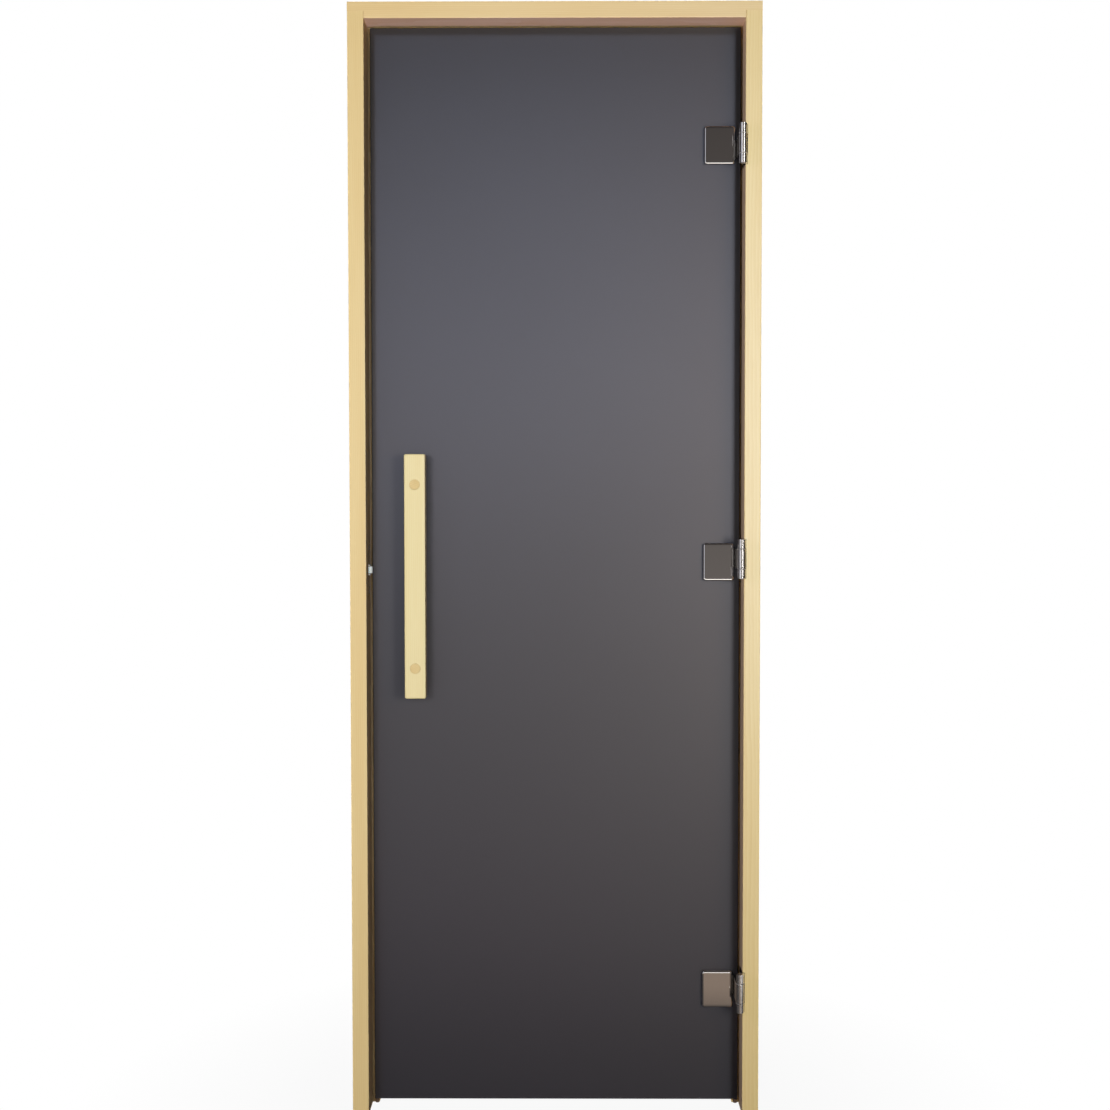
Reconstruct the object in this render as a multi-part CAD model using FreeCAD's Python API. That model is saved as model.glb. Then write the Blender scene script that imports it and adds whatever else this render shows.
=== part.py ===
import FreeCAD, Part
import math
import os

# Sauna door: one sheet of satin dark glass, hung on the right in a wooden frame
# of two jambs and a head. The pull side faces -Y and the leaf opens towards -Y.
# The origin is on the outer side of the hinge jamb, at its foot, half way through
# its depth. X runs from the latch jamb to the hinge jamb, Z is up, sizes are in mm.

# Frame
frame_width = 700.0
frame_height = 1900.0
frame_depth = 70.0
face_width = 28.0
stop_height = 12.0
joint_housing = 12.0
arris = 1.5
back_arris = 0.8
glass_setback = 44.0
seal_space = 4.0

# Glass leaf
glass_thickness = 8.0
latch_gap = 5.0
hinge_gap = 3.0
top_gap = 3.0
floor_gap = 10.0
glass_arris = 1.0
glass_hole_radius = 6.5

# Seals
seal_width = 6.0
seal_touch_gap = 0.3
seal_round = 2.0

# Hinges
upper_hinge_below_top = 232.5
middle_hinge_above_half = 3.5
lower_hinge_above_floor = 207.5
barrel_offset = 7.0
barrel_radius = 6.5
barrel_length = 67.0
end_knuckle_length = 16.0
knuckle_gap = 1.0
washer_thickness = 0.8
washer_radius = 7.2
pin_radius = 3.5
pin_running_gap = 0.05
pin_seat_gap = 0.02
pin_chamfer = 0.6
pin_in_front = 8.0
pin_inset = 5.0
leaf_thickness = 4.0
leaf_back_round = 5.0
leaf_fit_gap = 0.2
leaf_screw_depth_places = (14.0, 32.0)
leaf_screw_edge = 12.0

# Glass clamps
arm_thickness = 3.0
arm_bend = 1.2
arm_to_cover = 1.5
clamp_height = 60.0
clamp_plate_thickness = 3.0
clamp_round = 4.0
cover_width = 53.0
cover_height = 65.0
cover_thickness = 4.0
cover_round = 5.0
cover_edge = 3.0
cover_overlap = 1.5
rear_plate_thickness = 5.0
rear_plate_edge = 1.0
rear_plate_to_stop = 5.0
gasket_thickness = 1.0
gasket_inset = 1.0
clamp_screw_spread = 32.0
clamp_screw_radius = 3.0
clamp_screw_head_radius = 5.6
bush_wall = 2.0
bush_gap = 0.3
thread_gap = 0.1

# Wood screws
screw_radius = 2.0
screw_head_radius = 4.2
screw_length = 22.0
screw_hole_gap = 0.1

# Handle
handle_from_glass_edge = 78.0
handle_middle = 930.0
handle_width = 36.0
handle_length = 418.0
handle_thickness = 26.0
handle_round = 3.0
handle_edge = 2.5
handle_fixing_spread = 314.0
spacer_radius = 10.0
spacer_length = 19.0
handle_gasket_thickness = 1.0
bolt_radius = 4.0
bolt_head_radius = 7.5
bolt_head_height = 4.0
bolt_hole_gap = 0.3
counterbore_radius = 9.0
counterbore_depth = 14.0
plug_gap = 0.05
plug_thickness = 6.0
plug_stands_out = 0.4
plug_edge = 0.6

# Roller catch
catch_above_handle_middle = 10.0
roller_radius = 6.0
roller_height = 12.0
roller_stands_out = 6.0
roller_to_glass = 0.4
roller_side_gap = 0.25
roller_edge = 0.8
axle_radius = 1.5
axle_running_gap = 0.05
ear_thickness = 3.0
ear_stands_out = 3.2
ear_round = 4.0
carrier_width = 10.0
carrier_web = 4.0
carrier_shoulder = 4.0
carrier_to_plate = 0.3
catch_travel = 5.0
spring_room = 2.5
housing_wall = 1.5
housing_side_gap = 1.5
housing_shoulder_gap = 2.0
housing_fit_gap = 0.2
catch_plate_height = 92.0
catch_plate_width = 20.0
catch_plate_thickness = 2.0
catch_plate_round = 4.0
catch_window_gap = 0.5
catch_screw_edge = 8.0

# Each hinge: name, height of its clamp's middle, and which side of that its barrel lies
hinge_levels = [("upper", frame_height - upper_hinge_below_top, -1),
                ("middle", frame_height / 2 + middle_hinge_above_half, 1),
                ("lower", lower_hinge_above_floor, 1)]

# Places that follow from the sizes above
front = -frame_depth / 2
back = frame_depth / 2
hinge_reveal = -face_width
latch_reveal = -frame_width + face_width
soffit = frame_height - face_width
glass_front = front + glass_setback
glass_back = glass_front + glass_thickness
stop_front = glass_back + seal_space
glass_right = hinge_reveal - hinge_gap
glass_left = latch_reveal + latch_gap
glass_top = soffit - top_gap
pin_x = hinge_reveal - pin_inset
pin_y = front - pin_in_front
middle_knuckle_length = barrel_length - 2 * end_knuckle_length - 2 * knuckle_gap
arm_left = pin_x - barrel_radius
arm_right = arm_left + arm_thickness
clamp_plate_back = glass_front - gasket_thickness
clamp_plate_front = clamp_plate_back - clamp_plate_thickness
cover_right = arm_left - arm_to_cover
cover_left = cover_right - cover_width
clamp_left = cover_left + cover_overlap
rear_plate_right = hinge_reveal - stop_height - rear_plate_to_stop
clamp_screw_x = (clamp_left + rear_plate_right) / 2
handle_x = glass_left + handle_from_glass_edge
catch_middle = handle_middle + catch_above_handle_middle


def point(x, y, z=0.0):
    return FreeCAD.Vector(x, y, z)


def block(x_range, y_range, z_range):
    """A box from its two limits along each axis."""
    size = [limits[1] - limits[0] for limits in (x_range, y_range, z_range)]
    return Part.makeBox(size[0], size[1], size[2], point(x_range[0], y_range[0], z_range[0]))


def rounded_wire(corners, place):
    """A closed outline through corners (u, v, radius), each corner a tangent arc."""
    count = len(corners)
    edges = []
    ends = []
    for index in range(count):
        u, v, radius = corners[index]
        before = corners[index - 1]
        after = corners[(index + 1) % count]
        inward = FreeCAD.Vector(u - before[0], v - before[1], 0).normalize()
        outward = FreeCAD.Vector(after[0] - u, after[1] - v, 0).normalize()
        corner = FreeCAD.Vector(u, v, 0)
        if radius == 0:
            ends.append((corner, None, corner))
            continue
        half_turn = inward.getAngle(outward) / 2
        reach = radius * math.tan(half_turn)
        bisector = (outward - inward).normalize()
        centre = corner + bisector * (radius / math.cos(half_turn))
        ends.append((corner - inward * reach, centre - bisector * radius, corner + outward * reach))
    for index in range(count):
        start, middle, end = ends[index]
        if middle is not None:
            arc = [place(spot.x, spot.y) for spot in (start, middle, end)]
            edges.append(Part.Arc(arc[0], arc[1], arc[2]).toShape())
        following = ends[(index + 1) % count][0]
        if (following - end).Length > 1e-6:
            edges.append(Part.LineSegment(place(end.x, end.y), place(following.x, following.y)).toShape())
    return Part.Wire(edges)


def upright(corners, z_range):
    """An outline in plan, carried up from one height to another."""
    wire = rounded_wire(corners, lambda u, v: point(u, v, z_range[0]))
    return Part.Face(wire).extrude(point(0, 0, z_range[1] - z_range[0]))


def crosswise(corners, x_range):
    """An outline in depth (u) and height (v), carried across the doorway."""
    wire = rounded_wire(corners, lambda u, v: point(x_range[0], u, v))
    return Part.Face(wire).extrude(point(x_range[1] - x_range[0], 0, 0))


def facing_plate(x_range, z_range, y_range, corner_round):
    """A flat plate that faces the viewer, with four rounded corners."""
    corners = [(x_range[0], z_range[0], corner_round), (x_range[1], z_range[0], corner_round),
               (x_range[1], z_range[1], corner_round), (x_range[0], z_range[1], corner_round)]
    wire = rounded_wire(corners, lambda u, v: point(u, y_range[0], v))
    return Part.Face(wire).extrude(point(0, y_range[1] - y_range[0], 0))


def reveal_plate(x_range, y_range, z_range, corner_rounds):
    """A flat plate let into a reveal, with a rounding for each corner from front bottom on."""
    corners = [(y_range[0], z_range[0], corner_rounds[0]), (y_range[1], z_range[0], corner_rounds[1]),
               (y_range[1], z_range[1], corner_rounds[2]), (y_range[0], z_range[1], corner_rounds[3])]
    return crosswise(corners, x_range)


def depth_rod(x, z, radius, y_range):
    """A round bar through the depth of the door."""
    return Part.makeCylinder(radius, y_range[1] - y_range[0], point(x, y_range[0], z), point(0, 1, 0))


def upright_rod(x, y, radius, z_range):
    return Part.makeCylinder(radius, z_range[1] - z_range[0], point(x, y, z_range[0]), point(0, 0, 1))


def side_screw(x_face, into, y, z, gap=0.0):
    """A countersunk wood screw whose head is flush with a face at x_face; into is +1 or -1."""
    head = screw_head_radius + gap
    shank = screw_radius + gap
    cone_length = head - shank
    axis = point(into, 0, 0)
    cone = Part.makeCone(head, shank, cone_length, point(x_face, y, z), axis)
    start = point(x_face + into * cone_length, y, z)
    rod = Part.makeCylinder(shank, screw_length - cone_length, start, axis)
    return cone.fuse(rod).removeSplitter()


def edges_at_depth(shape, y):
    """The edges of a shape that lie wholly at one depth."""
    found = []
    for edge in shape.Edges:
        box = edge.BoundBox
        if abs(box.YMin - y) < 1e-4 and abs(box.YMax - y) < 1e-4:
            found.append(edge)
    return found


def soften(shape, y, radius):
    """Rounds every edge of a plate's face at one depth."""
    return shape.makeFillet(radius, edges_at_depth(shape, y))


def joined(solids):
    result = solids[0].multiFuse(solids[1:])
    return result.removeSplitter()


def barrel_middle(clamp_level, side):
    return clamp_level + side * barrel_offset


def barrel_range(clamp_level, side):
    middle = barrel_middle(clamp_level, side)
    return (middle - barrel_length / 2, middle + barrel_length / 2)


def leaf_blank(clamp_level, side, gap):
    """The flat of a jamb leaf, or with a gap the recess that is cut for it."""
    low, high = barrel_range(clamp_level, side)
    rounds = (0, leaf_back_round, leaf_back_round, 0)
    return reveal_plate((hinge_reveal, hinge_reveal + leaf_thickness),
                        (front, glass_front + gap), (low - gap, high + gap), rounds)


def leaf_screw_places(clamp_level, side):
    """Two screws near the top and bottom of the leaf, and one in its middle, further back."""
    low, high = barrel_range(clamp_level, side)
    near, far = leaf_screw_depth_places
    return [(front + near, low + leaf_screw_edge), (front + near, high - leaf_screw_edge),
            (front + far, (low + high) / 2)]


def jamb_leaf(clamp_level, side):
    """The leaf let into the jamb, with its two end knuckles round the pin."""
    low, high = barrel_range(clamp_level, side)
    pieces = [leaf_blank(clamp_level, side, 0.0)]
    for bottom in (low, high - end_knuckle_length):
        span = (bottom, bottom + end_knuckle_length)
        pieces.append(upright_rod(pin_x, pin_y, barrel_radius, span))
        lug = [(hinge_reveal, front, 0), (hinge_reveal + leaf_thickness, front, 0),
               (pin_x + barrel_radius, pin_y, 0), (pin_x + pin_radius, pin_y, 0)]
        pieces.append(upright(lug, span))
    leaf = joined(pieces)
    leaf = leaf.cut(upright_rod(pin_x, pin_y, pin_radius + pin_seat_gap, (low, high)))
    for y, z in leaf_screw_places(clamp_level, side):
        leaf = leaf.cut(side_screw(hinge_reveal, 1, y, z, screw_hole_gap))
    return leaf


def hinge_pin(clamp_level, side):
    low, high = barrel_range(clamp_level, side)
    pin = upright_rod(pin_x, pin_y, pin_radius, (low, high))
    rims = [edge for edge in pin.Edges if edge.BoundBox.ZLength < 1e-6 and len(edge.Vertexes) == 1]
    return pin.makeChamfer(pin_chamfer, rims)


def hinge_washers(clamp_level, side):
    """Two washers, each lying against its end knuckle."""
    low, high = barrel_range(clamp_level, side)
    lower_face = low + end_knuckle_length
    upper_face = high - end_knuckle_length
    rings = []
    for span in ((lower_face, lower_face + washer_thickness), (upper_face - washer_thickness, upper_face)):
        ring = upright_rod(pin_x, pin_y, washer_radius, span)
        rings.append(ring.cut(upright_rod(pin_x, pin_y, pin_radius + pin_running_gap, span)))
    return Part.makeCompound(rings)


def clamp_screw_levels(clamp_level):
    return (clamp_level - clamp_screw_spread / 2, clamp_level + clamp_screw_spread / 2)


def glass_leaf(clamp_level, side):
    """The middle knuckle, its arm back to the glass and the plate that clamps the glass."""
    middle = barrel_middle(clamp_level, side)
    span = (middle - middle_knuckle_length / 2, middle + middle_knuckle_length / 2)
    foot = arm_left - 2 * arm_thickness
    outer_bend = arm_bend + arm_thickness
    arm = [(arm_right, pin_y, 0), (arm_right, clamp_plate_back, outer_bend), (foot, clamp_plate_back, 0),
           (foot, clamp_plate_front, 0), (arm_left, clamp_plate_front, arm_bend), (arm_left, pin_y, 0)]
    plate = facing_plate((clamp_left, cover_right - cover_overlap),
                         (clamp_level - clamp_height / 2, clamp_level + clamp_height / 2),
                         (clamp_plate_front, clamp_plate_back), clamp_round)
    leaf = joined([upright_rod(pin_x, pin_y, barrel_radius, span), upright(arm, span), plate])
    leaf = leaf.cut(upright_rod(pin_x, pin_y, pin_radius + pin_running_gap, span))
    bore = clamp_screw_radius + thread_gap
    for z in clamp_screw_levels(clamp_level):
        leaf = leaf.cut(depth_rod(clamp_screw_x, z, bore, (clamp_plate_front, clamp_plate_back)))
    return leaf


def front_cover(clamp_level):
    """The polished plate that covers the clamp on the pull side."""
    cover_front = clamp_plate_front - cover_thickness
    cover = facing_plate((cover_left, cover_right),
                         (clamp_level - cover_height / 2, clamp_level + cover_height / 2),
                         (cover_front, clamp_plate_front), cover_round)
    return soften(cover, cover_front, cover_edge)


def rear_plate(clamp_level):
    near = glass_back + gasket_thickness
    far = near + rear_plate_thickness
    plate = facing_plate((clamp_left, rear_plate_right),
                         (clamp_level - clamp_height / 2, clamp_level + clamp_height / 2),
                         (near, far), clamp_round)
    plate = soften(plate, far, rear_plate_edge)
    for z in clamp_screw_levels(clamp_level):
        plate = plate.cut(depth_rod(clamp_screw_x, z, clamp_screw_radius + thread_gap, (near, far)))
        plate = plate.cut(clamp_screw_head(z, thread_gap))
    return plate


def clamp_screw_head(z, gap=0.0):
    """A countersunk head, flush with the rear plate's outer face."""
    far = glass_back + gasket_thickness + rear_plate_thickness
    depth = clamp_screw_head_radius - clamp_screw_radius
    return Part.makeCone(clamp_screw_head_radius + gap, clamp_screw_radius + gap, depth,
                         point(clamp_screw_x, far, z), point(0, -1, 0))


def clamp_screws(clamp_level):
    """Two screws from the rear plate, through the glass, into the clamp plate."""
    far = glass_back + gasket_thickness + rear_plate_thickness
    screws = []
    for z in clamp_screw_levels(clamp_level):
        shank = depth_rod(clamp_screw_x, z, clamp_screw_radius, (clamp_plate_front, far))
        screws.append(joined([shank, clamp_screw_head(z)]))
    return Part.makeCompound(screws)


def clamp_gaskets(clamp_level):
    """A soft pad on each face of the glass; the rear one has bushes through the glass holes."""
    z_range = (clamp_level - clamp_height / 2 + gasket_inset, clamp_level + clamp_height / 2 - gasket_inset)
    front_pad = facing_plate((clamp_left + gasket_inset, cover_right - cover_overlap - gasket_inset), z_range,
                             (clamp_plate_back, glass_front), clamp_round - gasket_inset)
    rear_pad = facing_plate((clamp_left + gasket_inset, rear_plate_right - gasket_inset), z_range,
                            (glass_back, glass_back + gasket_thickness), clamp_round - gasket_inset)
    bore = clamp_screw_radius + thread_gap
    bushes = [rear_pad]
    for z in clamp_screw_levels(clamp_level):
        bush_range = (glass_front + bush_gap, glass_back)
        bushes.append(depth_rod(clamp_screw_x, z, bore + bush_wall, bush_range))
    rear_pad = joined(bushes)
    for z in clamp_screw_levels(clamp_level):
        hole = depth_rod(clamp_screw_x, z, bore, (clamp_plate_back, glass_back + gasket_thickness))
        front_pad = front_pad.cut(hole)
        rear_pad = rear_pad.cut(hole)
    return Part.makeCompound([front_pad, rear_pad])


def jamb_outline(reveal, outer, with_stop):
    """A jamb's section in plan; the stop is the part that stands into the doorway at the back."""
    towards = -1 if reveal < outer else 1
    corners = [(outer, front, arris), (outer, back, back_arris)]
    if with_stop:
        stop_edge = reveal + towards * stop_height
        corners += [(stop_edge, back, back_arris), (stop_edge, stop_front, back_arris),
                    (reveal, stop_front, 0)]
    else:
        corners += [(reveal, back, 0)]
    return corners + [(reveal, front, arris)]


def jamb(reveal, outer):
    """A rebated jamb; its top is cut back to the face width and housed in the head."""
    body = upright(jamb_outline(reveal, outer, True), (0, soffit))
    tongue = upright(jamb_outline(reveal, outer, False), (soffit, soffit + joint_housing))
    return joined([body, tongue])


def hinge_jamb():
    shape = jamb(hinge_reveal, 0.0)
    for name, level, side in hinge_levels:
        shape = shape.cut(leaf_blank(level, side, leaf_fit_gap))
        for y, z in leaf_screw_places(level, side):
            shape = shape.cut(side_screw(hinge_reveal, 1, y, z, screw_hole_gap))
    return shape


def leaf_screws():
    screws = []
    for name, level, side in hinge_levels:
        for y, z in leaf_screw_places(level, side):
            screws.append(side_screw(hinge_reveal, 1, y, z))
    return Part.makeCompound(screws)


def head_rail():
    """The head runs over both jambs and is housed down over their tongues at each end."""
    over_jambs = crosswise([(front, frame_height, arris), (back, frame_height, back_arris),
                            (back, soffit + joint_housing, 0), (front, soffit + joint_housing, 0)],
                           (-frame_width, 0))
    between = crosswise([(front, soffit + joint_housing, 0), (back, soffit + joint_housing, 0),
                         (back, soffit, 0), (front, soffit, arris)], (latch_reveal, hinge_reveal))
    stop = crosswise([(stop_front, soffit, 0), (back, soffit, 0), (back, soffit - stop_height, back_arris),
                      (stop_front, soffit - stop_height, back_arris)],
                     (latch_reveal + stop_height, hinge_reveal - stop_height))
    return joined([over_jambs, between, stop])


def seal_section(start, towards):
    """A seal's width and depth: flat on the stop, rounded where it meets the glass."""
    end = start + towards * seal_width
    return [(start, stop_front, 0), (start, glass_back + seal_touch_gap, seal_round),
            (end, glass_back + seal_touch_gap, seal_round), (end, stop_front, 0)]


def side_seal(glass_edge, towards):
    return upright(seal_section(glass_edge, towards), (0, glass_top - seal_width))


def head_seal():
    section = [(depth, height, rounding) for height, depth, rounding in seal_section(glass_top, -1)]
    return crosswise(section, (glass_left, glass_right))


def glass_panel():
    """The glass with ground arrises and its holes for the hinges and the handle."""
    sheet = block((glass_left, glass_right), (glass_front, glass_back), (floor_gap, glass_top))
    rims = edges_at_depth(sheet, glass_front) + edges_at_depth(sheet, glass_back)
    sheet = sheet.makeChamfer(glass_arris, rims)
    through = (glass_front, glass_back)
    for name, level, side in hinge_levels:
        for z in clamp_screw_levels(level):
            sheet = sheet.cut(depth_rod(clamp_screw_x, z, glass_hole_radius, through))
    for z in handle_fixing_levels():
        sheet = sheet.cut(depth_rod(handle_x, z, glass_hole_radius, through))
    return sheet


def handle_fixing_levels():
    return (handle_middle - handle_fixing_spread / 2, handle_middle + handle_fixing_spread / 2)


def handle_stack(outward):
    """The depths of one handle, from the glass outward: gasket, spacer, bar back, bar face."""
    start = glass_front if outward < 0 else glass_back
    after_gasket = start + outward * handle_gasket_thickness
    bar_back = after_gasket + outward * spacer_length
    return start, after_gasket, bar_back, bar_back + outward * handle_thickness


def ordered(a, b):
    return (min(a, b), max(a, b))


def handle_bar(outward):
    """A flat wooden bar with softened edges, counterbored for its bolts and plugs."""
    start, after_gasket, bar_back, bar_face = handle_stack(outward)
    bar = facing_plate((handle_x - handle_width / 2, handle_x + handle_width / 2),
                       (handle_middle - handle_length / 2, handle_middle + handle_length / 2),
                       ordered(bar_back, bar_face), handle_round)
    bar = soften(bar, bar_face, handle_edge)
    bar = soften(bar, bar_back, arris)
    for z in handle_fixing_levels():
        bar = bar.cut(depth_rod(handle_x, z, bolt_radius + bolt_hole_gap, ordered(bar_back, bar_face)))
        floor = bar_face - outward * counterbore_depth
        bar = bar.cut(depth_rod(handle_x, z, counterbore_radius, ordered(floor, bar_face)))
    return bar


def handle_rings(depth_a, depth_b, radius):
    """A ring round each handle bolt between two depths."""
    rings = []
    for z in handle_fixing_levels():
        ring = depth_rod(handle_x, z, radius, ordered(depth_a, depth_b))
        rings.append(ring.cut(depth_rod(handle_x, z, bolt_radius + bolt_hole_gap, ordered(depth_a, depth_b))))
    return rings


def handle_spacers():
    rings = []
    for outward in (-1, 1):
        start, after_gasket, bar_back, bar_face = handle_stack(outward)
        rings += handle_rings(after_gasket, bar_back, spacer_radius)
    return Part.makeCompound(rings)


def handle_gaskets():
    rings = []
    for outward in (-1, 1):
        start, after_gasket, bar_back, bar_face = handle_stack(outward)
        rings += handle_rings(start, after_gasket, spacer_radius)
    return Part.makeCompound(rings)


def handle_bolts():
    """Bolts right through both bars and the glass, with a round head at each end."""
    outer_floor = handle_stack(-1)[3] + counterbore_depth
    inner_floor = handle_stack(1)[3] - counterbore_depth
    bolts = []
    for z in handle_fixing_levels():
        shank = depth_rod(handle_x, z, bolt_radius, (outer_floor, inner_floor))
        heads = [depth_rod(handle_x, z, bolt_head_radius, (outer_floor - bolt_head_height, outer_floor)),
                 depth_rod(handle_x, z, bolt_head_radius, (inner_floor, inner_floor + bolt_head_height))]
        bolts.append(joined([shank] + heads))
    return Part.makeCompound(bolts)


def handle_plugs(outward):
    """Round wooden plugs that hide the bolt heads."""
    face = handle_stack(outward)[3] + outward * plug_stands_out
    inner = face - outward * plug_thickness
    plugs = []
    for z in handle_fixing_levels():
        plug = depth_rod(handle_x, z, counterbore_radius - plug_gap, ordered(inner, face))
        plugs.append(plug.makeChamfer(plug_edge, edges_at_depth(plug, face)))
    return Part.makeCompound(plugs)


# The roller's axle: its front quarter meets the front corner of the glass
roller_x = latch_reveal + roller_stands_out - roller_radius
corner_reach = roller_radius + roller_to_glass
roller_y = glass_front - math.sqrt(corner_reach ** 2 - (glass_left - roller_x) ** 2)
ear_inner = roller_height / 2 + roller_side_gap
ear_outer = ear_inner + ear_thickness
shoulder_outer = ear_outer + carrier_shoulder
plate_back = latch_reveal - catch_plate_thickness
web_front = roller_x - roller_radius - catch_window_gap
carrier_back = web_front - carrier_web
cavity_back = carrier_back - catch_travel - spring_room
cavity_half_width = roller_radius + housing_side_gap
cavity_half_height = shoulder_outer + housing_shoulder_gap
housing_back = cavity_back - housing_wall


def around_catch(half_height):
    return (catch_middle - half_height, catch_middle + half_height)


def around_roller(half_width):
    return (roller_y - half_width, roller_y + half_width)


def catch_plate_blank(gap):
    rounds = [catch_plate_round] * 4
    return reveal_plate((plate_back, latch_reveal), around_roller(catch_plate_width / 2 + gap),
                        around_catch(catch_plate_height / 2 + gap), rounds)


def catch_screw_levels():
    reach = catch_plate_height / 2 - catch_screw_edge
    return (catch_middle - reach, catch_middle + reach)


def catch_face_plate():
    plate = catch_plate_blank(0.0)
    window = block((plate_back, latch_reveal), around_roller(roller_radius + catch_window_gap),
                   around_catch(ear_outer + catch_window_gap))
    plate = plate.cut(window)
    for z in catch_screw_levels():
        plate = plate.cut(side_screw(latch_reveal, -1, roller_y, z, screw_hole_gap))
    return plate


def housing_block(gap):
    return block((housing_back - gap, plate_back), around_roller(cavity_half_width + housing_wall + gap),
                 around_catch(cavity_half_height + housing_wall + gap))


def catch_housing():
    """The box let into the jamb that the carrier slides in."""
    cavity = block((cavity_back, plate_back), around_roller(cavity_half_width),
                   around_catch(cavity_half_height))
    return housing_block(0.0).cut(cavity)


def catch_screws():
    return Part.makeCompound([side_screw(latch_reveal, -1, roller_y, z) for z in catch_screw_levels()])


def catch_carrier():
    """Two ears that hold the axle, a web behind the roller, and shoulders that stop at the plate."""
    half = carrier_width / 2
    tip = latch_reveal + ear_stands_out
    shoulder_front = plate_back - carrier_to_plate
    solids = [block((carrier_back, web_front), around_roller(half), around_catch(shoulder_outer))]
    for towards in (-1, 1):
        ear_levels = ordered(catch_middle + towards * ear_inner, catch_middle + towards * ear_outer)
        shoulder_levels = ordered(catch_middle + towards * ear_outer, catch_middle + towards * shoulder_outer)
        low, high = around_roller(half)
        ear = [(web_front, low, 0), (tip, low, ear_round), (tip, high, ear_round), (web_front, high, 0)]
        solids.append(upright(ear, ear_levels))
        solids.append(block((web_front, shoulder_front), around_roller(half), shoulder_levels))
    carrier = joined(solids)
    return carrier.cut(upright_rod(roller_x, roller_y, axle_radius + pin_seat_gap, around_catch(ear_outer)))


def catch_axle():
    return upright_rod(roller_x, roller_y, axle_radius, around_catch(ear_outer))


def catch_roller():
    levels = around_catch(roller_height / 2)
    roller = upright_rod(roller_x, roller_y, roller_radius, levels)
    rims = [edge for edge in roller.Edges if len(edge.Vertexes) == 1]
    roller = roller.makeFillet(roller_edge, rims)
    return roller.cut(upright_rod(roller_x, roller_y, axle_radius + axle_running_gap, levels))


def latch_jamb():
    shape = jamb(latch_reveal, -frame_width)
    shape = shape.cut(catch_plate_blank(leaf_fit_gap))
    shape = shape.cut(housing_block(housing_fit_gap))
    for z in catch_screw_levels():
        shape = shape.cut(side_screw(latch_reveal, -1, roller_y, z, screw_hole_gap))
    return shape


def all_pieces():
    pieces = {
        "hinge_jamb": hinge_jamb(),
        "latch_jamb": latch_jamb(),
        "head_rail": head_rail(),
        "hinge_side_seal": side_seal(glass_right, -1),
        "latch_side_seal": side_seal(glass_left, 1),
        "head_seal": head_seal(),
        "hinge_leaf_screws": leaf_screws(),
        "glass_panel": glass_panel(),
        "outer_handle": handle_bar(-1),
        "inner_handle": handle_bar(1),
        "handle_spacers": handle_spacers(),
        "handle_gaskets": handle_gaskets(),
        "handle_bolts": handle_bolts(),
        "outer_handle_plugs": handle_plugs(-1),
        "inner_handle_plugs": handle_plugs(1),
        "catch_face_plate": catch_face_plate(),
        "catch_housing": catch_housing(),
        "catch_screws": catch_screws(),
        "catch_carrier": catch_carrier(),
        "catch_axle": catch_axle(),
        "catch_roller": catch_roller(),
    }
    for name, level, side in hinge_levels:
        pieces[name + "_jamb_leaf"] = jamb_leaf(level, side)
        pieces[name + "_hinge_pin"] = hinge_pin(level, side)
        pieces[name + "_hinge_washers"] = hinge_washers(level, side)
        pieces[name + "_glass_leaf"] = glass_leaf(level, side)
        pieces[name + "_front_cover"] = front_cover(level)
        pieces[name + "_rear_plate"] = rear_plate(level)
        pieces[name + "_clamp_gaskets"] = clamp_gaskets(level)
        pieces[name + "_clamp_screws"] = clamp_screws(level)
    return pieces


os.makedirs("parts", exist_ok=True)
for name, shape in sorted(all_pieces().items()):
    shape.exportStep("parts/" + name + ".step")
    box = shape.BoundBox
    print("%-22s solids %d valid %s volume %.0f x %.1f %.1f y %.1f %.1f z %.1f %.1f" % (
        name, len(shape.Solids), shape.isValid(), shape.Volume,
        box.XMin, box.XMax, box.YMin, box.YMax, box.ZMin, box.ZMax))
print("hinge axis at x %.2f, y %.2f" % (pin_x, pin_y))
print("catch roller axis at x %.2f, y %.2f, z %.1f" % (roller_x, roller_y, catch_middle))
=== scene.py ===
# %% [markdown]
# A sauna door in its wooden frame: one sheet of satin dark glass on three polished
# hinges, with a flat wooden handle on each side and a roller catch in the jamb.
# The construction comes in as a fixed frame of named parts, in metres, with the front
# towards -Y and Z up. Everything below is about how those parts look: light, wood,
# glass, metal, and the small pieces that need a finer mesh than a construction model.

# %% Load the frame and note its box
import bmesh
import bpy
import math
import numpy as np
from mathutils import Matrix, Vector


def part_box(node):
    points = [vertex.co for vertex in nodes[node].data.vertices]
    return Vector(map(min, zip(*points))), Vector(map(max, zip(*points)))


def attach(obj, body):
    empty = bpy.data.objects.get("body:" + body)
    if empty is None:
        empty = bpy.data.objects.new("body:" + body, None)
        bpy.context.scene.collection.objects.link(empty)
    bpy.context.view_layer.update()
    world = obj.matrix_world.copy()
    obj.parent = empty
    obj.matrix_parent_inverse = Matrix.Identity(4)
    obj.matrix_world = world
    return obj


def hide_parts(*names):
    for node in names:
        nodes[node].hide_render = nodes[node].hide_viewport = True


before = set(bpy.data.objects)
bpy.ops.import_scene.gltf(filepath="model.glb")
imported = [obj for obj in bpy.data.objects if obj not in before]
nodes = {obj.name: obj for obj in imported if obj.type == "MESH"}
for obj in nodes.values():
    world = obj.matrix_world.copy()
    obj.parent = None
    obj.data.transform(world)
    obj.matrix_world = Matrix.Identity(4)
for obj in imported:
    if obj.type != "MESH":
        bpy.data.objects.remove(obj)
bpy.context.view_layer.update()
scene = bpy.context.scene
MM = 0.001
HINGES = ("upper", "middle", "lower")

# %% [markdown]
# The camera stands a little over two and a half metres in front of the door, at the
# height of the handle, with a normal lens. Its height and its small tilt were found from
# how far the frame's upright edges lean towards each other. A camera looks along its own
# -Z, so a quarter turn about X makes it look at the door, and the tilt is taken off it.

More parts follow.
